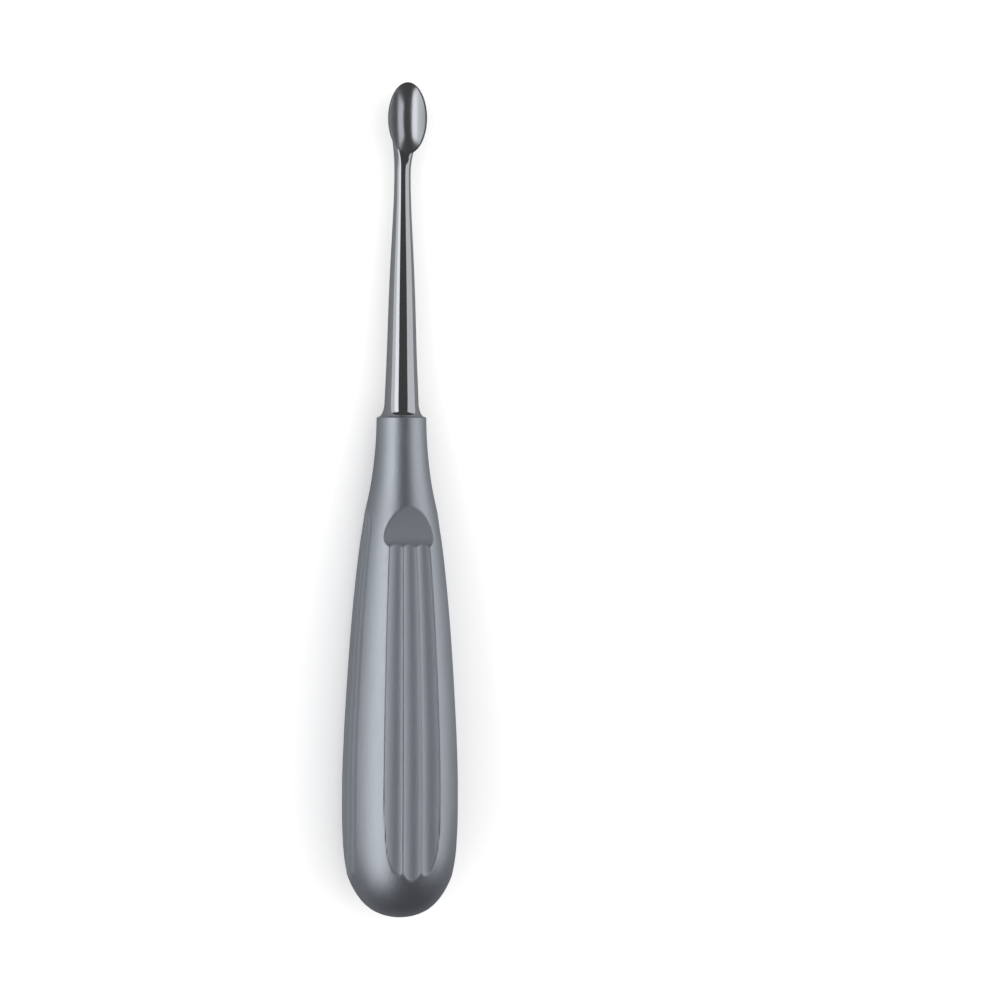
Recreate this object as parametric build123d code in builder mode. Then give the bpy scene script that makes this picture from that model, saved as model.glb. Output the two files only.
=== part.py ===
import os
from math import atan, cos, degrees, radians, sin

from build123d import *

# Bone curette: a steel spoon on a tapered shaft, brazed into a hollow fluted grip.
# It lies on its back, spoon opening and thumb rest up (+Z), tip towards +Y.
# Stations are (height above the butt, radius), measured along the tool's axis.

# Whole tool, and the height above the butt of the spot on the grip's back that it rests on
tool_length = 170.0
rest_station = 53.0
rest_crown = 0.03

# Grip: lands of the hollow handle
butt_crown = (1.7, 5.9)
butt_corner = (5.0, 8.95)
butt_edge = (9.8, 11.05)
grip_low = (17.2, 12.08)
belly = (27.0, 12.25)
grip_mid = (44.0, 11.55)
grip_high = (61.0, 10.34)
grip_top = (73.4, 9.05)
shoulder = (79.0, 8.2)
shoulder_run = (1, -0.2)
neck_low = (85.6, 6.7)
neck_mid = (92.9, 5.57)
neck_high = (98.0, 5.17)
neck_radius = 5.08
handle_length = 101.9
rim_bevel = 0.2

# Grip: fluted panels and shell
panel_count = 4
panel_half_angle = 28.8
flutes_per_panel = 3
flute_depth_share = 0.041
panel_lift = 0.5
run_out = 12.0
wall = 1.2

# Thumb rest: a hollow scoop straight across the front of the shoulder
scoop_run_out = (83.6, 7.15)
scoop_middle = (80.9, 6.52)
scoop_floor_end = (78.1, 6.4)
scoop_ledge = (75.2, 8.0)
scoop_floor_wall = 1.2

# Tang and its socket in the neck of the grip
tang_radius = 3.0
tang_length = 15.0
braze_gap = 0.05
socket_relief = 1.5

# Shaft: places between its foot and its top are (share of the way up, radius)
foot_radius = 4.85
foot_height = 3.2
shaft_low_radius = 3.46
shaft_low = (0.149, 3.16)
shaft_middle = (0.418, 2.75)
shaft_high = (0.688, 2.2)
shaft_top = (151.5, 1.66)

# Spoon
spoon_length = 14.6
spoon_width = 8.1
rim_height = 4.3
rim_edge = 0.2
spoon_floor_wall = 0.55
throat = (155.0, 1.78, 0.3)
throat_mid = (158.5, 1.95, 1.25)
throat_end_radius = 1.95
throat_inset = 0.1

half_panel = radians(panel_half_angle)
panel_share = cos(half_panel)
shaft_start = handle_length + foot_height
shaft_rise = shaft_top[0] - shaft_start
spoon_centre = tool_length - spoon_length / 2
bowl_radius = spoon_width / 2
bowl_lift = bowl_radius - rim_edge - (bowl_radius - spoon_floor_wall)

# The back panel between the middle and the top of the grip lies on the floor
rest_slope = (grip_mid[1] - grip_high[1]) * panel_share / (grip_high[0] - grip_mid[0])
rest_tilt = degrees(atan(rest_slope))
rest_radius = grip_mid[1] * panel_share - (rest_station - grip_mid[0]) * rest_slope + rest_crown

# Tool axis: butt at the origin of this plane, tip along its normal, front along its y
butt_height = rest_radius * cos(radians(rest_tilt)) + rest_station * sin(radians(rest_tilt))
reach = tool_length * cos(radians(rest_tilt)) + rim_height * sin(radians(rest_tilt))
butt_y = -reach / 2
tool = Plane(
    origin=(0, butt_y, butt_height),
    x_dir=(-1, 0, 0),
    z_dir=(0, cos(radians(rest_tilt)), -sin(radians(rest_tilt))),
)
side = Plane(origin=tool.origin, x_dir=tool.z_dir, z_dir=-tool.x_dir)
axis = Axis(tool.origin, tool.z_dir)
about_axis = Axis((0, 0, 0), tool.z_dir)
land_side = Plane(origin=tool.origin, x_dir=tool.z_dir, z_dir=(-tool.x_dir).rotate(about_axis, 45))

# Handle
with BuildPart() as handle:
    # Turned outline of the lands
    with BuildSketch(land_side):
        with BuildLine():
            Spline(
                (0, 0),
                butt_crown,
                butt_corner,
                butt_edge,
                grip_low,
                belly,
                tangents=((0, 1), (1, 0)),
            )
            Spline(belly, grip_mid, grip_high, grip_top, shoulder, tangents=((1, 0), shoulder_run))
            Spline(
                shoulder,
                neck_low,
                neck_mid,
                neck_high,
                (handle_length - rim_bevel, neck_radius),
                tangents=(shoulder_run, (1, 0)),
            )
            Polyline(
                (handle_length - rim_bevel, neck_radius),
                (handle_length, neck_radius - rim_bevel),
                (handle_length, 0),
                (0, 0),
            )
        make_face()
    revolve(axis=axis)

    # Fluted panels: front, back and both sides
    panel_stations = [(-run_out, belly[1]), (run_out, belly[1])]
    panel_stations += [belly, grip_mid, grip_high, grip_top, shoulder]
    for turn in range(panel_count):
        panel = Plane(
            origin=tool.origin,
            x_dir=tool.x_dir.rotate(about_axis, 360 / panel_count * turn),
            z_dir=tool.z_dir,
        )
        for height, land in panel_stations + [(neck_low[0], shoulder[1])]:
            lift = panel_lift if height == neck_low[0] else 0
            floor = land * panel_share + lift
            half_width = land * sin(half_panel)
            flute_width = 2 * half_width / flutes_per_panel
            with BuildSketch(panel.offset(height)):
                with BuildLine():
                    for flute in range(flutes_per_panel):
                        start = -half_width + flute * flute_width
                        ThreePointArc(
                            (start, floor),
                            (start + flute_width / 2, floor - land * flute_depth_share),
                            (start + flute_width, floor),
                        )
                    Polyline(
                        (half_width, floor),
                        (land, floor + land / 4),
                        (-land, floor + land / 4),
                        (-half_width, floor),
                    )
                make_face()
        loft(mode=Mode.SUBTRACT)

    # Thumb rest
    with BuildSketch(side):
        with BuildLine():
            floor_line = ThreePointArc(scoop_run_out, scoop_middle, scoop_floor_end)
            end_wall = TangentArc(floor_line @ 1, scoop_ledge, tangent=floor_line % 1)
            Polyline(
                end_wall @ 1,
                (scoop_ledge[0], belly[1]),
                (neck_low[0], belly[1]),
                (neck_low[0], neck_low[1] + belly[1] - shoulder[1]),
                floor_line @ 0,
            )
        make_face()
    extrude(amount=belly[1], both=True, mode=Mode.SUBTRACT)

    # Hollow inside and the socket for the tang
    socket_radius = tang_radius + braze_gap
    socket_start = handle_length - tang_length - socket_relief
    inset = belly[1] * flute_depth_share + wall
    with BuildSketch(side):
        with BuildLine():
            Polyline(
                (wall, 0),
                (wall, butt_crown[1] - wall),
                (butt_edge[0], butt_edge[1] * panel_share - inset),
                (belly[0], belly[1] * panel_share - inset),
                (grip_mid[0], grip_mid[1] * panel_share - inset),
                (grip_high[0], grip_high[1] * panel_share - inset),
                (grip_top[0], grip_top[1] * panel_share - inset),
                (scoop_floor_end[0], scoop_floor_end[1] - scoop_floor_wall),
                (socket_start, socket_radius),
                (handle_length, socket_radius),
                (handle_length, 0),
                (wall, 0),
            )
        make_face()
    revolve(axis=axis, mode=Mode.SUBTRACT)

# Spoon and shaft
with BuildPart() as spoon_and_shaft:
    # Tang, foot and tapered shaft
    with BuildSketch(side):
        with BuildLine():
            Polyline(
                shaft_top,
                (shaft_top[0], 0),
                (handle_length - tang_length, 0),
                (handle_length - tang_length, tang_radius),
                (handle_length, tang_radius),
                (handle_length, foot_radius),
            )
            EllipticalCenterArc(
                (shaft_start, foot_radius),
                foot_height,
                foot_radius - shaft_low_radius,
                start_angle=180,
                arc_size=90,
            )
            Spline(
                (shaft_start, shaft_low_radius),
                (shaft_start + shaft_low[0] * shaft_rise, shaft_low[1]),
                (shaft_start + shaft_middle[0] * shaft_rise, shaft_middle[1]),
                (shaft_start + shaft_high[0] * shaft_rise, shaft_high[1]),
                shaft_top,
                tangents=((1, -0.04), (1, 0)),
            )
        make_face()
    revolve(axis=axis)

    # Outside of the bowl: half an ellipsoid under the rim
    rim_plane = Plane(origin=tool.from_local_coords((0, rim_height, 0)), x_dir=tool.z_dir, z_dir=tool.y_dir)
    with BuildSketch(rim_plane):
        with BuildLine():
            EllipticalCenterArc((spoon_centre, 0), spoon_length / 2, bowl_radius, start_angle=0, arc_size=180)
            Line((spoon_centre - spoon_length / 2, 0), (spoon_centre + spoon_length / 2, 0))
        make_face()
    revolve(axis=Axis(rim_plane.origin, -tool.z_dir), revolution_arc=180)

    # Throat that rises from the shaft into the back of the bowl
    throat_end = rim_height - bowl_radius + throat_end_radius + throat_inset
    for height, radius, rise in (
        (shaft_top[0], shaft_top[1], 0),
        throat,
        throat_mid,
        (spoon_centre, throat_end_radius, throat_end),
    ):
        with BuildSketch(tool.offset(height)):
            with Locations((0, rise)):
                Circle(radius)
    loft()

    # Hollow of the bowl: half an ellipsoid that starts above the rim, so the wall thins to an edge
    hollow_plane = rim_plane.offset(bowl_lift)
    with BuildSketch(hollow_plane):
        with BuildLine():
            EllipticalCenterArc(
                (spoon_centre, 0),
                spoon_length / 2 - rim_edge,
                bowl_radius - rim_edge,
                start_angle=0,
                arc_size=180,
            )
            Line(
                (spoon_centre - spoon_length / 2 + rim_edge, 0),
                (spoon_centre + spoon_length / 2 - rim_edge, 0),
            )
        make_face()
    revolve(axis=Axis(hollow_plane.origin, -tool.z_dir), revolution_arc=180, mode=Mode.SUBTRACT)

handle.part.label = "handle"
spoon_and_shaft.part.label = "spoon_and_shaft"

os.makedirs("parts", exist_ok=True)
export_step(handle.part, "parts/handle.step")
export_step(spoon_and_shaft.part, "parts/spoon_and_shaft.step")
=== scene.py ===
import math

import bpy
import numpy as np
from mathutils import Matrix, Vector


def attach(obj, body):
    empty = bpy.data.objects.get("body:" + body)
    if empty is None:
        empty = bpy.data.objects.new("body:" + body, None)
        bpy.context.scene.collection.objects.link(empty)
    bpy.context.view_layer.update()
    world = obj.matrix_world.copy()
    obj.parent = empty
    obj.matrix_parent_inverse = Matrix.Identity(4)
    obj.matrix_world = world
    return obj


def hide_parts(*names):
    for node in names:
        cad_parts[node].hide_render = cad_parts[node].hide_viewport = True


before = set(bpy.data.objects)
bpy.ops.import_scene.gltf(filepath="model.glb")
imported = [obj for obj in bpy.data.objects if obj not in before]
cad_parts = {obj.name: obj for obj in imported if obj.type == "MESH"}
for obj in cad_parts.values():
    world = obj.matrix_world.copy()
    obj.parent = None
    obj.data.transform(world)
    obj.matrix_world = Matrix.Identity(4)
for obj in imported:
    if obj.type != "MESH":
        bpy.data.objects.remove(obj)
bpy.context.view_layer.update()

bl_info = {
    "name": "Bone curette",
    "version": (1, 0, 0),
    "blender": (4, 5, 0),
    "location": "View3D > Sidebar > Curette",
    "description": "Builds a polished steel bone curette with a fluted satin grip on a pale studio floor",
    "category": "Object",
}


def station(label, text, height, radius):
    """A point of a turned outline: height above the butt and radius, given in millimetres."""
    return bpy.props.FloatVectorProperty(
        name=label,
        description=text,
        size=2,
        default=(height / 1000, radius / 1000),
        unit="LENGTH",
        precision=5,
    )


def length(label, text, millimetres):
    """A length, given in millimetres and kept in metres."""
    return bpy.props.FloatProperty(
        name=label,
        description=text,
        default=millimetres / 1000,
        unit="LENGTH",
        subtype="DISTANCE",
        precision=5,
    )


def angle(label, text, degrees):
    """An angle, given in degrees and kept in radians."""
    return bpy.props.FloatProperty(
        name=label,
        description=text,
        default=math.radians(degrees),
        unit="ROTATION",
        subtype="ANGLE",
    )


def colour(label, text, *rgb):
    """A colour, as linear red, green and blue."""
    return bpy.props.FloatVectorProperty(name=label, description=text, size=3, subtype="COLOR", default=rgb)


def share(label, text, default):
    """A plain number without a unit."""
    return bpy.props.FloatProperty(name=label, description=text, default=default)


def tally(label, text, default, least=1):
    """A whole number of like things."""
    return bpy.props.IntProperty(name=label, description=text, default=default, min=least)


class CuretteToolSizes(bpy.types.PropertyGroup):
    """How the tool lies on the floor."""

    tool_length: length("Overall length", "Butt to tip of the spoon, along the axis", 170.0)
    butt_height: length("Axis height", "Height of the axis above the floor at the butt", 12.8707)
    butt_y: length("Butt place", "Where the axis starts, along Y", -84.969)
    tilt: angle("Tilt", "How far the axis dips towards the tip", 3.56905)


class CuretteGripSizes(bpy.types.PropertyGroup):
    """The fluted hollow grip."""

    butt_crown: station("Butt crown", "Near the end of the dome", 1.7, 5.9)
    butt_corner: station("Butt corner", "Where the dome turns", 5.0, 8.95)
    butt_edge: station("Butt edge", "Where the dome meets the grip", 9.8, 11.05)
    grip_low: station("Lower grip", "Below the belly", 17.2, 12.08)
    belly: station("Belly", "The thickest place", 27.0, 12.25)
    grip_mid: station("Middle of the grip", "Outline of the lands", 44.0, 11.55)
    grip_high: station("Upper grip", "Outline of the lands", 61.0, 10.34)
    grip_top: station("Top of the grip", "Below the thumb rest's ledge", 73.4, 9.05)
    shoulder: station("Shoulder", "Where the panels end", 79.0, 8.2)
    neck_low: station("Lower neck", "Round neck", 85.6, 6.7)
    neck_mid: station("Middle of the neck", "Round neck", 92.9, 5.57)
    neck_high: station("Upper neck", "Round neck", 98.0, 5.17)
    neck_rim: station("Neck's rim", "Top of the grip", 101.9, 5.08)
    rim_bevel: length("Rim bevel", "Bevel on the neck's rim", 0.2)
    socket_radius: length("Socket radius", "Bore for the tang", 3.05)
    socket_depth: length("Socket depth", "Depth of that bore", 16.5)
    panels: tally("Panels", "Fluted panels round the grip", 4, least=3)
    panel_half_angle: angle("Panel half angle", "Half of the arc that a panel takes", 28.8)
    flutes: tally("Flutes", "Flutes on a panel", 3)
    flute_depth_share: share("Flute depth share", "Depth of a flute as a share of the land radius", 0.041)
    panel_lift: length("Panel lift", "How far a panel's floor has risen at the lower neck", 0.5)
    crest_softness: length("Crest softness", "Rounding of the crests between the flutes", 0.10)
    land_softness: length("Land softness", "Rounding where a panel meets a land", 0.16)
    scoop_floor_end: station("Thumb rest's lower end", "Where its floor turns up", 78.1, 6.55)
    scoop_middle: station("Thumb rest's middle", "Lowest stretch of its floor", 80.9, 6.66)
    scoop_run_out: station("Thumb rest's upper end", "Where its floor leaves the neck", 83.6, 7.15)
    scoop_ledge: station("Thumb rest's ledge", "Top of its end wall", 75.2, 8.0)
    scoop_softness: length("Thumb rest softness", "Rounding of its edges", 0.25)
    columns: tally("Columns", "Mesh columns round the grip", 288, least=3)


class CuretteSpoonSizes(bpy.types.PropertyGroup):
    """The forged spoon, shaft and tang."""

    tang_radius: length("Tang radius", "Hidden in the grip", 3.0)
    tang_length: length("Tang length", "Hidden in the grip", 15.0)
    foot_radius: length("Foot radius", "Where the shaft sits on the grip", 4.85)
    foot_height: length("Foot height", "Height of the flare", 3.2)
    shaft_low_radius: length("Shaft's lower radius", "At the top of the flare", 3.46)
    shaft_low: station("Lower shaft", "Outline of the shaft", 112.0, 3.16)
    shaft_middle: station("Middle of the shaft", "Outline of the shaft", 124.5, 2.75)
    shaft_high: station("Upper shaft", "Outline of the shaft", 137.0, 2.2)
    shaft_top: station("Top of the shaft", "Where the throat starts", 151.5, 1.66)
    spoon_length: length("Spoon length", "Length of the rim", 14.6)
    spoon_width: length("Spoon width", "Width of the rim", 8.1)
    rim_height: length("Rim height", "Rim above the tool's axis", 4.3)
    rim_edge: length("Rim edge", "Width of the ground edge", 0.3)
    hollow_depth: length("Hollow depth", "Depth of the bowl under its rim", 2.35)
    landing_front: angle("Throat landing, front", "Where the throat's top line meets the bowl", 34.0)
    landing_back: angle("Throat landing, back", "Where its lower line meets the bowl", 84.0)
    landing_spread: angle("Throat landing, sides", "How far it wraps the bowl", 62.0)
    columns: tally("Shaft columns", "Mesh columns round the shaft", 160, least=3)
    bowl_columns: tally("Bowl columns", "Mesh columns round the bowl", 224, least=3)


class CuretteFinish(bpy.types.PropertyGroup):
    """Colours and finishes of the steel."""

    satin_tone: colour("Satin tone", "Blasted steel", 0.59, 0.63, 0.70)
    satin_roughness: share("Satin roughness", "On lands and neck", 0.42)
    recess_roughness: share("Recess roughness", "In the flutes and the thumb rest, left unbrushed", 0.60)
    mirror_tone: colour("Mirror tone", "Polished steel", 0.60, 0.62, 0.655)
    mirror_roughness: share("Mirror roughness", "On the shaft", 0.08)
    bowl_roughness: share("Bowl roughness", "In the hollow of the bowl, ground and not buffed", 0.24)


class CuretteStudio(bpy.types.PropertyGroup):
    """Floor, lights and camera."""

    roll: angle("Roll", "How far the camera stands to the left of the tool's front", 14.5)
    lean: angle("Lean", "Tilt of the tool in the picture, clockwise", 0.24)
    lens: share("Lens", "Focal length, in millimetres", 500.0)
    picture_height: length("Picture height", "Height that the frame covers at the tool", 203.7)
    picture_middle: length("Picture middle", "Height above the butt at the frame's middle", 85.0)
    picture_offset: length("Picture offset", "How far right of the tool the frame's middle is", 20.14)
    floor_tone: colour("Floor tone", "Pale floor", 0.93, 0.93, 0.93)
    backdrop_glow: share("Backdrop glow", "Strength of the white room for floor and camera", 1.1)
    gap_glow: share("Gap glow", "Strength of that room in the steel's reflections", 0.07)


GROUPS = {
    "curette_tool": CuretteToolSizes,
    "curette_grip": CuretteGripSizes,
    "curette_spoon": CuretteSpoonSizes,
    "curette_finish": CuretteFinish,
    "curette_studio": CuretteStudio,
}


def hermite(t, start, leave, end, arrive):
    """The point at share t of the cubic from start to end, with its directions at both."""
    return (
        (2 * t**3 - 3 * t**2 + 1) * start
        + (t**3 - 2 * t**2 + t) * leave
        + (3 * t**2 - 2 * t**3) * end
        + (t**3 - t**2) * arrive
    )


def smooth_line(points, start, end, per_span=60):
    """Points of a cubic spline through the stations, with the given end directions."""
    p = np.array(points, float)
    steps = np.linalg.norm(np.diff(p, axis=0), axis=1)
    slopes = np.diff(p, axis=0) / steps[:, None]
    count = len(p)
    matrix, right = np.eye(count), np.zeros((count, 2))
    right[0], right[-1] = start, end
    for i in range(1, count - 1):
        before, after = steps[i - 1], steps[i]
        matrix[i, i - 1 : i + 2] = after, 2 * (before + after), before
        right[i] = 3 * (after * slopes[i - 1] + before * slopes[i])
    rates = np.linalg.solve(matrix, right)
    rows = []
    for i, step in enumerate(steps):
        for t in np.linspace(0, 1, per_span, endpoint=False):
            rows.append(hermite(t, p[i], step * rates[i], p[i + 1], step * rates[i + 1]))
    return np.array(rows + [p[-1]])


def spaced(rows, spacing):
    """The same line with points as far apart as spacing says for each place."""
    middles = (rows[1:] + rows[:-1]) / 2
    weight = np.linalg.norm(np.diff(rows, axis=0), axis=1) / np.array([spacing(*m) for m in middles])
    total = np.concatenate([[0], np.cumsum(weight)])
    wanted = np.linspace(0, total[-1], max(2, int(round(total[-1]))) + 1)
    return np.stack([np.interp(wanted, total, rows[:, k]) for k in (0, 1)], axis=1)


def round_centre(a, b, c):
    """Centre of the circle through three points of an outline."""
    matrix = Matrix(((b - a), (c - b)))
    return matrix.inverted() @ Vector(((b - a).dot(a + b) / 2, (c - b).dot(b + c) / 2))


def tool_matrix():
    """From the tool's own frame, Y along its axis and Z to its front, to the row's frame."""
    sizes = bpy.context.scene.curette_tool
    return Matrix.Translation((0, sizes.butt_y, sizes.butt_height)) @ Matrix.Rotation(-sizes.tilt, 4, "X")


def placed(right, up, back, where):
    """The matrix of an object with the given axes at the given place."""
    rows = [(right[i], up[i], back[i], where[i]) for i in range(3)]
    return Matrix((*rows, (0, 0, 0, 1)))


class Field:
    """A number in a geometry node tree, with arithmetic that adds Math nodes."""

    def __init__(self, tree, socket):
        self.tree, self.socket = tree, socket

    def __add__(self, other):
        return reckon(self.tree, "ADD", self, other)

    def __sub__(self, other):
        return reckon(self.tree, "SUBTRACT", self, other)

    def __rsub__(self, other):
        return reckon(self.tree, "SUBTRACT", other, self)

    def __mul__(self, other):
        return reckon(self.tree, "MULTIPLY", self, other)

    def __truediv__(self, other):
        return reckon(self.tree, "DIVIDE", self, other)


def reckon(tree, operation, *values):
    """A Math node on fields and plain numbers."""
    node = tree.nodes.new("ShaderNodeMath")
    node.operation = operation
    for socket, value in zip(node.inputs, values):
        if isinstance(value, Field):
            tree.links.new(value.socket, socket)
        else:
            socket.default_value = value
    return Field(tree, node.outputs[0])


def wire(tree, kind, inputs=None, output=0, **settings):
    """A node with its inputs linked or set by name, and one of its outputs as a socket."""
    node = tree.nodes.new(kind)
    for name, value in settings.items():
        setattr(node, name, value)
    for name, value in (inputs or {}).items():
        socket = node.inputs[name]
        if isinstance(value, Field):
            tree.links.new(value.socket, socket)
        elif isinstance(value, bpy.types.NodeSocket):
            tree.links.new(value, socket)
        else:
            socket.default_value = value
    return node.outputs[output]


def split(tree, vector):
    """The X, Y and Z sockets of a vector."""
    node = tree.nodes.new("ShaderNodeSeparateXYZ")
    tree.links.new(vector, node.inputs[0])
    return node.outputs


def colour_mix(tree, factor, first, second):
    """A colour between two others, each a socket or red, green and blue."""
    mix = tree.nodes.new("ShaderNodeMix")
    mix.data_type = "RGBA"
    tree.links.new(factor, mix.inputs[0])
    for socket, value in zip(mix.inputs[6:8], (first, second)):
        if isinstance(value, bpy.types.NodeSocket):
            tree.links.new(value, socket)
        else:
            socket.default_value = (*value, 1)
    return mix.outputs[2]


def fluted_grip_tree():
    """Turns an outline into a grip: lands and fluted panels round the axis, and a scooped thumb rest."""
    neck_blend = 0.0005
    panel_margin = 1.02
    crest_level = 0.25
    least_front = 0.05
    out_of_reach = 0.05
    full_recess = 0.00025
    crest_recess = 0.3
    weld = 0.000004
    crease = math.radians(40)

    tree = bpy.data.node_groups.new("Fluted grip", "GeometryNodeTree")
    interface = tree.interface
    interface.new_socket("Outline", in_out="INPUT", socket_type="NodeSocketGeometry")
    for name in ("Columns", "Panels", "Flutes"):
        interface.new_socket(name, in_out="INPUT", socket_type="NodeSocketInt")
    numbers = (
        "Panel Half Angle",
        "Flute Depth Share",
        "Crest Softness",
        "Land Softness",
        "Belly Height",
        "Belly Radius",
        "Shoulder Height",
        "Shoulder Radius",
        "Lift Slope",
        "Scoop Floor End",
        "Scoop Floor Height",
        "Scoop Floor Radius",
        "Scoop Floor Curve",
        "Scoop Wall Height",
        "Scoop Wall Radius",
        "Scoop Wall Curve",
        "Scoop Ledge Height",
        "Scoop Softness",
    )
    for name in numbers:
        interface.new_socket(name, in_out="INPUT", socket_type="NodeSocketFloat")
    interface.new_socket("Material", in_out="INPUT", socket_type="NodeSocketMaterial")
    interface.new_socket("Grip", in_out="OUTPUT", socket_type="NodeSocketGeometry")
    given = tree.nodes.new("NodeGroupInput")
    value = {s.name: Field(tree, s) for s in given.outputs if s.name}

    def calc(operation, *values):
        return reckon(tree, operation, *values)

    # Rows follow the outline, columns go round the axis
    outline = value["Outline"].socket
    size = tree.nodes.new("GeometryNodeAttributeDomainSize")
    size.component = "CURVE"
    tree.links.new(outline, size.inputs[0])
    rows = Field(tree, size.outputs["Point Count"])
    sheet = wire(
        tree,
        "GeometryNodeMeshGrid",
        {"Size X": 1.0, "Size Y": 1.0, "Vertices X": rows, "Vertices Y": value["Columns"] + 1.0},
        output="Mesh",
    )
    place = split(tree, wire(tree, "GeometryNodeInputPosition"))
    row = calc("ROUND", (Field(tree, place["X"]) + 0.5) * (rows - 1.0))
    turn = (Field(tree, place["Y"]) + 0.5) * (2 * math.pi)
    sampled = wire(
        tree,
        "GeometryNodeSampleIndex",
        {"Geometry": outline, "Value": wire(tree, "GeometryNodeInputPosition"), "Index": row},
        data_type="FLOAT_VECTOR",
        domain="POINT",
    )
    point = split(tree, sampled)
    height, land = Field(tree, point["X"]), Field(tree, point["Y"])

    # Angle from the middle of the nearest panel
    arc = calc("DIVIDE", 2 * math.pi, value["Panels"])
    off = calc("WRAP", turn, arc * 0.5, arc * -0.5)
    across = calc("COSINE", off)

    # Land radius that the panel follows: level under the belly, lifting off past the shoulder
    lifted = value["Shoulder Radius"] + (height - value["Shoulder Height"]) * value["Lift Slope"]
    near_neck = calc("SMOOTH_MAX", land, lifted, neck_blend)
    past = calc("GREATER_THAN", height, value["Belly Height"])
    panel_land = near_neck * past + value["Belly Radius"] * (1.0 - past)

    # Round flutes with softened crests, no further out than the panel's edges
    floor = panel_land * calc("COSINE", value["Panel Half Angle"])
    half_width = panel_land * calc("SINE", value["Panel Half Angle"])
    aside = floor * calc("TANGENT", off) / half_width
    inside = calc("LESS_THAN", calc("ABSOLUTE", aside), panel_margin)
    flute = (aside + 1.0) * 0.5 * value["Flutes"]
    phase = calc("FRACT", flute) * 2.0 - 1.0
    groove = 1.0 - phase * phase
    dip = groove * panel_land * value["Flute Depth Share"] * inside
    dip = calc("SMOOTH_MAX", dip, value["Crest Softness"] * crest_level, value["Crest Softness"])
    panel = (floor - dip) / across
    radius = calc("SMOOTH_MIN", land, panel, value["Land Softness"])
    radius = calc("MINIMUM", radius, land)

    # Thumb rest: hollow floor, round end wall and a ledge. Below the ledge it lies out of reach
    front = calc("MAXIMUM", calc("COSINE", turn), least_front)

    def hollow(name):
        away = height - value[name + " Height"]
        under = calc("MAXIMUM", value[name + " Curve"] * value[name + " Curve"] - away * away, 0.0)
        return value[name + " Radius"] - calc("SQRT", under)

    level, wall = hollow("Scoop Floor"), hollow("Scoop Wall")
    on_floor = calc("GREATER_THAN", height, value["Scoop Floor End"])
    off_ledge = calc("LESS_THAN", height, value["Scoop Ledge Height"])
    scoop = level * on_floor + wall * (1.0 - on_floor) + off_ledge * out_of_reach
    scooped = calc("LESS_THAN", scoop / front, radius)
    radius = calc("SMOOTH_MIN", radius, scoop / front, value["Scoop Softness"])
    radius = calc("MINIMUM", radius, land)

    spread = wire(
        tree,
        "ShaderNodeCombineXYZ",
        {"X": radius * calc("SINE", turn), "Y": height, "Z": radius * calc("COSINE", turn)},
    )

    # The grooves and the thumb rest are duller than the crests, as no brush reaches them
    depth = (land - radius) * (1 / full_recess)
    reach = calc("MAXIMUM", groove * (1 - crest_recess) + crest_recess, scooped)
    recess = calc("MINIMUM", calc("MAXIMUM", depth, 0.0), 1.0) * reach
    marked = wire(
        tree,
        "GeometryNodeStoreNamedAttribute",
        {"Geometry": sheet, "Name": "recess", "Value": recess},
        data_type="FLOAT",
        domain="POINT",
    )
    shaped = wire(tree, "GeometryNodeSetPosition", {"Geometry": marked, "Position": spread})
    closed = wire(tree, "GeometryNodeMergeByDistance", {"Geometry": shaped, "Distance": weld})
    bend = wire(tree, "GeometryNodeInputMeshEdgeAngle")
    soft = wire(tree, "ShaderNodeMath", {0: bend, 1: crease}, operation="LESS_THAN")
    smooth = wire(
        tree,
        "GeometryNodeSetShadeSmooth",
        {"Geometry": closed, "Shade Smooth": soft},
        domain="EDGE",
    )
    finished = wire(tree, "GeometryNodeSetMaterial", {"Geometry": smooth, "Material": value["Material"]})
    out = tree.nodes.new("NodeGroupOutput")
    tree.links.new(finished, out.inputs["Grip"])
    return tree


def plain_mesh(source, name):
    """A new object with the evaluated mesh of source, in place, and source is removed."""
    bpy.context.view_layer.update()
    evaluated = source.evaluated_get(bpy.context.evaluated_depsgraph_get())
    mesh = bpy.data.meshes.new_from_object(evaluated)
    mesh.name = name
    made = bpy.data.objects.new(name, mesh)
    bpy.context.scene.collection.objects.link(made)
    bpy.data.objects.remove(source)
    return made


def stations_of(sizes, names):
    """The named stations as plain pairs."""
    return [tuple(getattr(sizes, name)) for name in names.split()]


def grip_outline(sizes):
    """Outline of the lands from the butt to the rim, then down the socket for the tang."""
    edge_spacing, scoop_spacing, plain_spacing = 0.00010, 0.0003, 0.00045
    edge_margin, scoop_margin = 0.0006, 0.003
    names = (
        "butt_crown butt_corner butt_edge grip_low belly grip_mid grip_high "
        "grip_top shoulder neck_low neck_mid neck_high"
    )
    top, radius = sizes.neck_rim
    stations = [(0.0, 0.0), *stations_of(sizes, names), (top - sizes.rim_bevel, radius)]
    ledge, floor_end = sizes.scoop_ledge[0], sizes.scoop_floor_end[0]

    def spacing(height, _radius):
        if ledge - edge_margin < height < floor_end + edge_margin:
            return edge_spacing
        if ledge - scoop_margin < height < sizes.neck_low[0]:
            return scoop_spacing
        return plain_spacing

    rows = [tuple(p) for p in spaced(smooth_line(stations, (0, 1), (1, 0)), spacing)]
    bottom = top - sizes.socket_depth
    rows += [(top, radius - sizes.rim_bevel), (top, sizes.socket_radius)]
    rows += [(bottom, sizes.socket_radius), (bottom, 0.0)]
    return rows


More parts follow.
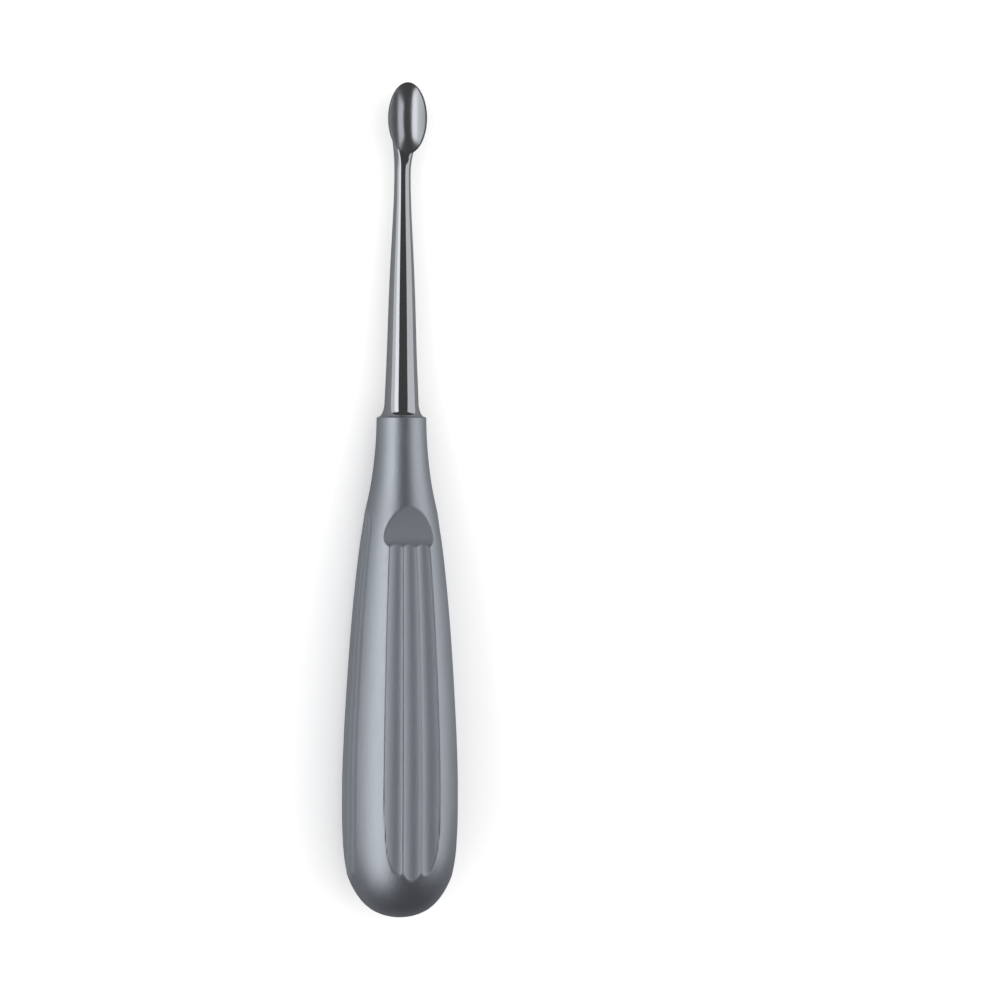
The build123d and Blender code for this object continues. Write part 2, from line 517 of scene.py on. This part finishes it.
class CURETTE_OT_grip(bpy.types.Operator):
    """Build the fluted satin grip with its thumb rest"""

    bl_idname = "curette.grip"
    bl_label = "Fluted grip"

    def execute(self, context):
        sizes = context.scene.curette_grip
        rows = grip_outline(sizes)
        curve = bpy.data.curves.new("grip_outline", "CURVE")
        curve.dimensions = "3D"
        line = curve.splines.new("POLY")
        line.points.add(len(rows) - 1)
        for point, (height, radius) in zip(line.points, rows):
            point.co = (height, radius, 0, 1)
        source = bpy.data.objects.new("grip_outline", curve)
        context.scene.collection.objects.link(source)
        tree = fluted_grip_tree()
        nodes = source.modifiers.new("Fluted grip", "NODES")
        nodes.node_group = tree

        low, ledge = Vector(sizes.scoop_floor_end), Vector(sizes.scoop_ledge)
        floor_centre = round_centre(low, Vector(sizes.scoop_middle), Vector(sizes.scoop_run_out))
        normal = (floor_centre - low).normalized()
        chord = ledge - low
        wall_curve = chord.length_squared / (2 * chord.dot(normal))
        wall_centre = low + normal * wall_curve
        lift_run = sizes.neck_low[0] - sizes.shoulder[0]
        given = {
            "Columns": sizes.columns,
            "Panels": sizes.panels,
            "Flutes": sizes.flutes,
            "Panel Half Angle": sizes.panel_half_angle,
            "Flute Depth Share": sizes.flute_depth_share,
            "Crest Softness": sizes.crest_softness,
            "Land Softness": sizes.land_softness,
            "Belly Height": sizes.belly[0],
            "Belly Radius": sizes.belly[1],
            "Shoulder Height": sizes.shoulder[0],
            "Shoulder Radius": sizes.shoulder[1],
            "Lift Slope": sizes.panel_lift / math.cos(sizes.panel_half_angle) / lift_run,
            "Scoop Floor End": low[0],
            "Scoop Floor Height": floor_centre[0],
            "Scoop Floor Radius": floor_centre[1],
            "Scoop Floor Curve": (floor_centre - low).length,
            "Scoop Wall Height": wall_centre[0],
            "Scoop Wall Radius": wall_centre[1],
            "Scoop Wall Curve": wall_curve,
            "Scoop Ledge Height": ledge[0],
            "Scoop Softness": sizes.scoop_softness,
            "Material": satin_steel(),
        }
        for item in tree.interface.items_tree:
            if item.item_type == "SOCKET" and item.in_out == "INPUT" and item.name in given:
                nodes[item.identifier] = given[item.name]
        grip = plain_mesh(source, "grip")
        grip.data.transform(tool_matrix())
        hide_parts("handle")
        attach(grip, "root")
        return {"FINISHED"}


def shaft_rows(sizes, grip):
    """Outline of the tang, foot and shaft, from the tang's hidden end to the top of the shaft."""
    foot_steps, start_slope, row_spacing = 24, -0.04, 0.0007
    seat = grip.neck_rim[0]
    rows = [(seat - sizes.tang_length, 0.0), (seat - sizes.tang_length, sizes.tang_radius)]
    rows += [(seat, sizes.tang_radius), (seat, sizes.foot_radius)]
    for step in range(1, foot_steps + 1):
        turn = math.radians(180 + 90 * step / foot_steps)
        rows.append(
            (
                seat + sizes.foot_height * (1 + math.cos(turn)),
                sizes.foot_radius + (sizes.foot_radius - sizes.shaft_low_radius) * math.sin(turn),
            )
        )
    stations = [rows[-1], *stations_of(sizes, "shaft_low shaft_middle shaft_high shaft_top")]
    start = Vector((1, start_slope)).normalized()
    line = spaced(smooth_line(stations, start, (1, 0)), lambda height, radius: row_spacing)
    return rows + [tuple(p) for p in line[1:]]


def throat_rings(sizes, centre, half_length, half_width, columns, count=44):
    """Rings from the top of the shaft to the outside of the bowl, tangent to both."""
    landing_ease = 1.15
    side_wrap, end_wrap, back_wrap = 0.55, 0.45, 0.25
    leave_pull, arrive_pull = 1.15, 0.95
    nudge = 0.001
    buried = 0.00012
    top, radius = sizes.shaft_top
    turn = np.linspace(0, 2 * math.pi, columns, endpoint=False)
    start = np.stack([radius * np.sin(turn), np.full(columns, top), radius * np.cos(turn)], 1)

    # Where each column lands: from front to back along the bowl, and how far round its side
    back = (1 - np.cos(turn)) / 2
    along = sizes.landing_front + (sizes.landing_back - sizes.landing_front) * back**landing_ease
    wrap = side_wrap + end_wrap * np.cos(turn) ** 2 + back_wrap * back
    side = sizes.landing_spread * np.sin(turn) * wrap

    def bowl(a, b):
        girth = half_width * np.sin(a)
        x, z = girth * np.sin(b), sizes.rim_height - girth * np.cos(b)
        return np.stack([x, centre - half_length * np.cos(a), z], 1)

    end = bowl(along, side)
    heading = bowl(along + nudge, side * (1 - nudge / 2)) - end
    heading /= np.linalg.norm(heading, axis=1)[:, None]
    gap = np.linalg.norm(end - start, axis=1)[:, None]
    leave = np.array([[0.0, 1.0, 0.0]]) * gap * leave_pull
    arrive = heading * gap * arrive_pull
    rings = [hermite(t, start, leave, end, arrive) for t in np.linspace(0, 1, count + 1)[1:]]
    # Buried just under the bowl's skin, so that nothing shows double
    rings.append(end + heading * buried + np.array([[0, 0, buried]]))
    return rings


def bowl_profile(sizes, half_length, half_width):
    """Ellipses of the bowl as (half width, half length, height over the rim), from outside to inside.

    Also the number of them that lie outside the hollow, and the height of the hollow's bottom.
    """
    edge, soft = sizes.rim_edge, 0.00004
    drop = soft * 1.5
    wall_steps, edge_steps = 48, 6
    inner_width, inner_length = half_width - edge, half_length - edge
    rows = []
    for step in range(1, wall_steps + 1):
        turn = math.pi / 2 * (1 - step / wall_steps)
        out, down = math.cos(turn), math.sin(turn)
        rows.append((half_width * out, half_length * out, -half_width * down))
    rows[-1] = (half_width, half_length, -drop)
    for step in range(1, edge_steps + 1):
        turn = math.pi / 2 * step / edge_steps
        inset = soft * (1 - math.cos(turn))
        rows.append((half_width - inset, half_length - inset, -drop * (1 - math.sin(turn))))
    for step in range(1, edge_steps + 1):
        turn = math.pi / 2 * step / edge_steps
        grow = soft * (1 - math.sin(turn))
        rows.append((inner_width + grow, inner_length + grow, -soft * (1 - math.cos(turn))))
    outside = len(rows)
    for step in range(1, wall_steps):
        scale = 1 - step / wall_steps
        depth = sizes.hollow_depth * (1 - scale**2) + soft
        rows.append((inner_width * scale, inner_length * scale, -depth))
    return rows, outside, -sizes.hollow_depth - soft


def skin(rings, first, last):
    """Vertices and faces of closed rings joined in order, with a pole at either end."""
    columns = len(rings[0])
    points = [tuple(p) for ring in rings for p in ring]
    faces = []
    for r in range(len(rings) - 1):
        for c in range(columns):
            d = (c + 1) % columns
            faces.append((r * columns + c, r * columns + d, (r + 1) * columns + d, (r + 1) * columns + c))
    for pole, ring in ((first, 0), (last, len(rings) - 1)):
        points.append(tuple(pole))
        tip = len(points) - 1
        for c in range(columns):
            a, b = ring * columns + c, ring * columns + (c + 1) % columns
            faces.append((tip, b, a) if ring == 0 else (tip, a, b))
    return points, faces


class CURETTE_OT_spoon(bpy.types.Operator):
    """Build the spoon, throat, shaft, foot and tang as one forged piece"""

    bl_idname = "curette.spoon"
    bl_label = "Spoon and shaft"

    def execute(self, context):
        sizes, grip = context.scene.curette_spoon, context.scene.curette_grip
        half_length, half_width = sizes.spoon_length / 2, sizes.spoon_width / 2
        centre = context.scene.curette_tool.tool_length - half_length
        crease = math.radians(38)
        columns = sizes.columns
        turn = np.linspace(0, 2 * math.pi, columns, endpoint=False)
        rows = shaft_rows(sizes, grip)
        rings = [
            np.stack([radius * np.sin(turn), np.full(columns, height), radius * np.cos(turn)], 1)
            for height, radius in rows[1:]
        ]
        rings += throat_rings(sizes, centre, half_length, half_width, columns)
        points, faces = skin(rings, (0, rows[0][0], 0), rings[-1].mean(axis=0))

        profile, outside, bottom = bowl_profile(sizes, half_length, half_width)
        around = np.linspace(0, 2 * math.pi, sizes.bowl_columns, endpoint=False)
        rings = [
            np.stack(
                [
                    width * np.sin(around),
                    centre + long * np.cos(around),
                    np.full(len(around), sizes.rim_height + rise),
                ],
                1,
            )
            for width, long, rise in profile
        ]
        under = (0, centre, sizes.rim_height - half_width)
        more, extra = skin(rings, under, (0, centre, sizes.rim_height + bottom))
        base = len(points)
        points += more
        faces += [tuple(i + base for i in face) for face in extra]

        mesh = bpy.data.meshes.new("spoon_shaft")
        mesh.from_pydata(points, [], faces)
        mesh.transform(tool_matrix())
        mesh.validate()
        mesh.update()
        # The hollow is the last rings and the last of the bowl's two poles, which come at the end
        index = np.arange(len(mesh.vertices))
        hollow_start, under_pole = base + outside * len(around), len(index) - 2
        recess = mesh.attributes.new("recess", "FLOAT", "POINT")
        recess.data.foreach_set("value", ((index >= hollow_start) & (index != under_pole)).astype(float))
        mesh.shade_smooth()
        mesh.set_sharp_from_angle(angle=crease)
        mesh.materials.append(mirror_steel())
        spoon = bpy.data.objects.new("spoon_shaft", mesh)
        context.scene.collection.objects.link(spoon)
        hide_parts("spoon_and_shaft")
        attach(spoon, "root")
        return {"FINISHED"}


def new_material(name):
    """A material with its node tree and its shader."""
    material = bpy.data.materials.new(name)
    material.use_nodes = True
    return material, material.node_tree, material.node_tree.nodes["Principled BSDF"]


def noise(tree, vector, scale, detail, roughness):
    """Cloudy noise from 0 to 1."""
    given = {"Vector": vector, "Scale": scale, "Detail": detail, "Roughness": roughness}
    return wire(tree, "ShaderNodeTexNoise", given, output="Fac")


def steel(name, tone, roughness, recess, spread, grain, grain_size, brush, brush_scale):
    """Bare steel with uneven tone and roughness, a fine grain and marks of its finishing."""
    material, tree, shader = new_material(name)
    shader.inputs["Metallic"].default_value = 1.0
    where = wire(tree, "ShaderNodeTexCoord", output="Object")
    clouds = noise(tree, where, 60.0, 4.0, 0.55)
    darker, lighter = [c * 0.95 for c in tone], [min(1.0, c * 1.05) for c in tone]
    tree.links.new(colour_mix(tree, clouds, darker, lighter), shader.inputs["Base Color"])

    stretched = wire(tree, "ShaderNodeMapping", {"Vector": where, "Scale": brush_scale})
    marks = noise(tree, stretched, 1.0, 3.0, 0.6)
    both = wire(tree, "ShaderNodeMath", {0: clouds, 1: marks}, operation="ADD")
    uneven = {
        "Value": both,
        "From Min": 0.6,
        "From Max": 1.4,
        "To Min": roughness - spread,
        "To Max": roughness + spread,
    }
    rough = wire(tree, "ShaderNodeMapRange", uneven)
    low = wire(tree, "ShaderNodeAttribute", output="Fac", attribute_name="recess")
    added = {0: low, 1: recess - roughness, 2: rough}
    rough = wire(tree, "ShaderNodeMath", added, operation="MULTIPLY_ADD")
    tree.links.new(rough, shader.inputs["Roughness"])

    fine = noise(tree, where, grain_size, 2.0, 0.7)
    relief = wire(tree, "ShaderNodeMath", {0: marks, 1: brush, 2: fine}, operation="MULTIPLY_ADD")
    normal = wire(tree, "ShaderNodeBump", {"Height": relief, "Strength": grain, "Distance": 0.00005})
    tree.links.new(normal, shader.inputs["Normal"])
    return material


def satin_steel():
    """Blasted steel of the grip."""
    look = bpy.context.scene.curette_finish
    return steel(
        "satin_steel",
        look.satin_tone,
        look.satin_roughness,
        look.recess_roughness,
        spread=0.05,
        grain=0.8,
        grain_size=4200.0,
        brush=0.5,
        brush_scale=(2600.0, 70.0, 2600.0),
    )


def mirror_steel():
    """Buffed steel of the shaft, ground in the bowl."""
    look = bpy.context.scene.curette_finish
    return steel(
        "mirror_steel",
        look.mirror_tone,
        look.mirror_roughness,
        look.bowl_roughness,
        spread=0.02,
        grain=0.02,
        grain_size=2600.0,
        brush=1.0,
        brush_scale=(2500.0, 120.0, 2500.0),
    )


def pale_floor(tone):
    """Pale matt floor. In the steel's reflections its colour is a painted shade, dimmer than the camera
    sees it and dimmest under the butt.
    """
    material, tree, shader = new_material("pale_floor")
    shader.inputs["Roughness"].default_value = 0.9
    shader.inputs["Specular IOR Level"].default_value = 0.0
    place = split(tree, wire(tree, "ShaderNodeTexCoord", output="Object"))
    # Painted shade: the floor's colour as the steel reflects it, a dark grey that is darkest under the butt
    painted_shade_level = wire(
        tree,
        "ShaderNodeMapRange",
        {"Value": place["Y"], "From Min": -0.12, "From Max": -0.06, "To Min": 0.06, "To Max": 0.22},
    )
    painted_reflection_grey = wire(tree, "ShaderNodeCombineColor", {"Red": painted_shade_level, "Green": painted_shade_level, "Blue": painted_shade_level})
    # Reflections in the steel get the painted shade grey, while the camera gets the pale tone
    in_steel = wire(tree, "ShaderNodeLightPath", output="Is Glossy Ray")
    tree.links.new(colour_mix(tree, in_steel, tone, painted_reflection_grey), shader.inputs["Base Color"])
    return material


def softbox(name, centre, target, width, height, glow, up):
    """A rectangular area light of even brightness that faces target, its height along up."""
    light = bpy.data.lights.new(name, "AREA")
    light.shape = "RECTANGLE"
    light.size, light.size_y = width, height
    light.energy = glow * math.pi * width * height
    lamp = bpy.data.objects.new(name, light)
    away = (centre - target).normalized()
    side = up.cross(away).normalized()
    lamp.matrix_world = placed(side, away.cross(side), away, centre)
    bpy.context.scene.collection.objects.link(lamp)


def lay_floor(scene, floor_tone):
    """A wide pale floor."""
    reach = 3.0
    corners = [(-reach, -reach, 0), (reach, -reach, 0), (reach, reach, 0), (-reach, reach, 0)]
    mesh = bpy.data.meshes.new("floor")
    mesh.from_pydata(corners, [], [(0, 1, 2, 3)])
    mesh.materials.append(pale_floor(floor_tone))
    floor = bpy.data.objects.new("floor", mesh)
    scene.collection.objects.link(floor)


def hang_softboxes(middle, axis, view, picture_right):
    """Softboxes round the tool's axis, all at one distance from it."""
    away = 0.9
    # Name, angle from the camera's line of sight, half width, reach to the butt and to the tip, glow
    for name, degrees, half, butt, tip, glow in (
        ("left_strip", -34.5, 13.5, 47.0, 44.0, 1.16),
        ("left_softbox", -71.5, 23.5, 47.0, 44.0, 0.66),
        ("right_softbox", 73.0, 30.0, 27.0, 44.0, 0.66),
    ):
        turn = math.radians(degrees)
        width = 2 * away * math.tan(math.radians(half))
        low, high = -away * math.tan(math.radians(butt)), away * math.tan(math.radians(tip))
        aim = middle + axis * (low + high) / 2
        centre = aim + (view * math.cos(turn) + picture_right * math.sin(turn)) * away
        softbox(name, centre, aim, width, high - low, glow, axis)


def white_room(studio):
    """A white world that steel sees dark, so that the gaps between the softboxes reflect dark."""
    world = bpy.data.worlds.new("studio")
    world.use_nodes = True
    tree = world.node_tree
    backdrop = tree.nodes["Background"]
    backdrop.inputs["Color"].default_value = (1, 1, 1, 1)
    in_steel = wire(tree, "ShaderNodeLightPath", output="Is Glossy Ray")
    strengths = {"Value": in_steel, "To Min": studio.backdrop_glow, "To Max": studio.gap_glow}
    tree.links.new(wire(tree, "ShaderNodeMapRange", strengths), backdrop.inputs["Strength"])
    return world


class CURETTE_OT_studio(bpy.types.Operator):
    """Lay a pale floor, hang the softboxes and place the camera"""

    bl_idname = "curette.studio"
    bl_label = "Studio"

    def execute(self, context):
        scene, studio = context.scene, context.scene.curette_studio
        lay_floor(scene, studio.floor_tone)

        place = tool_matrix()
        turned = place.to_3x3()
        axis, front, right = turned @ Vector((0, 1, 0)), turned @ Vector((0, 0, 1)), Vector((1, 0, 0))
        middle = place @ Vector((0, studio.picture_middle, 0))
        view = front * math.cos(studio.roll) - right * math.sin(studio.roll)
        picture_right = right * math.cos(studio.roll) + front * math.sin(studio.roll)
        up = axis * math.cos(studio.lean) - picture_right * math.sin(studio.lean)
        across = picture_right * math.cos(studio.lean) + axis * math.sin(studio.lean)

        camera_data = bpy.data.cameras.new("camera")
        camera_data.lens = studio.lens
        camera_data.sensor_width = 36.0
        distance = studio.picture_height * studio.lens / camera_data.sensor_width
        where = middle + across * studio.picture_offset + view * distance
        camera = bpy.data.objects.new("camera", camera_data)
        camera.matrix_world = placed(across, up, view, where)
        scene.collection.objects.link(camera)
        scene.camera = camera

        hang_softboxes(middle, axis, view, picture_right)
        scene.world = white_room(studio)
        scene.view_settings.view_transform = "Standard"
        return {"FINISHED"}


class CURETTE_PT_panel(bpy.types.Panel):
    """Lists the sizes and the steps that build the curette"""

    bl_label = "Bone curette"
    bl_idname = "CURETTE_PT_panel"
    bl_space_type = "VIEW_3D"
    bl_region_type = "UI"
    bl_category = "Curette"

    def draw(self, context):
        for name, group in GROUPS.items():
            box = self.layout.box()
            box.label(text=group.__doc__)
            for key in group.__annotations__:
                box.prop(getattr(context.scene, name), key)
        for step in STEPS:
            self.layout.operator(step.bl_idname)


STEPS = (CURETTE_OT_grip, CURETTE_OT_spoon, CURETTE_OT_studio)
CLASSES = (*GROUPS.values(), *STEPS, CURETTE_PT_panel)


def register():
    for each in CLASSES:
        bpy.utils.register_class(each)
    for name, group in GROUPS.items():
        setattr(bpy.types.Scene, name, bpy.props.PointerProperty(type=group))


def unregister():
    for name in GROUPS:
        delattr(bpy.types.Scene, name)
    for each in reversed(CLASSES):
        bpy.utils.unregister_class(each)


def main():
    register()
    bpy.ops.curette.grip()
    bpy.ops.curette.spoon()
    bpy.ops.curette.studio()


if __name__ == "__main__":
    main()
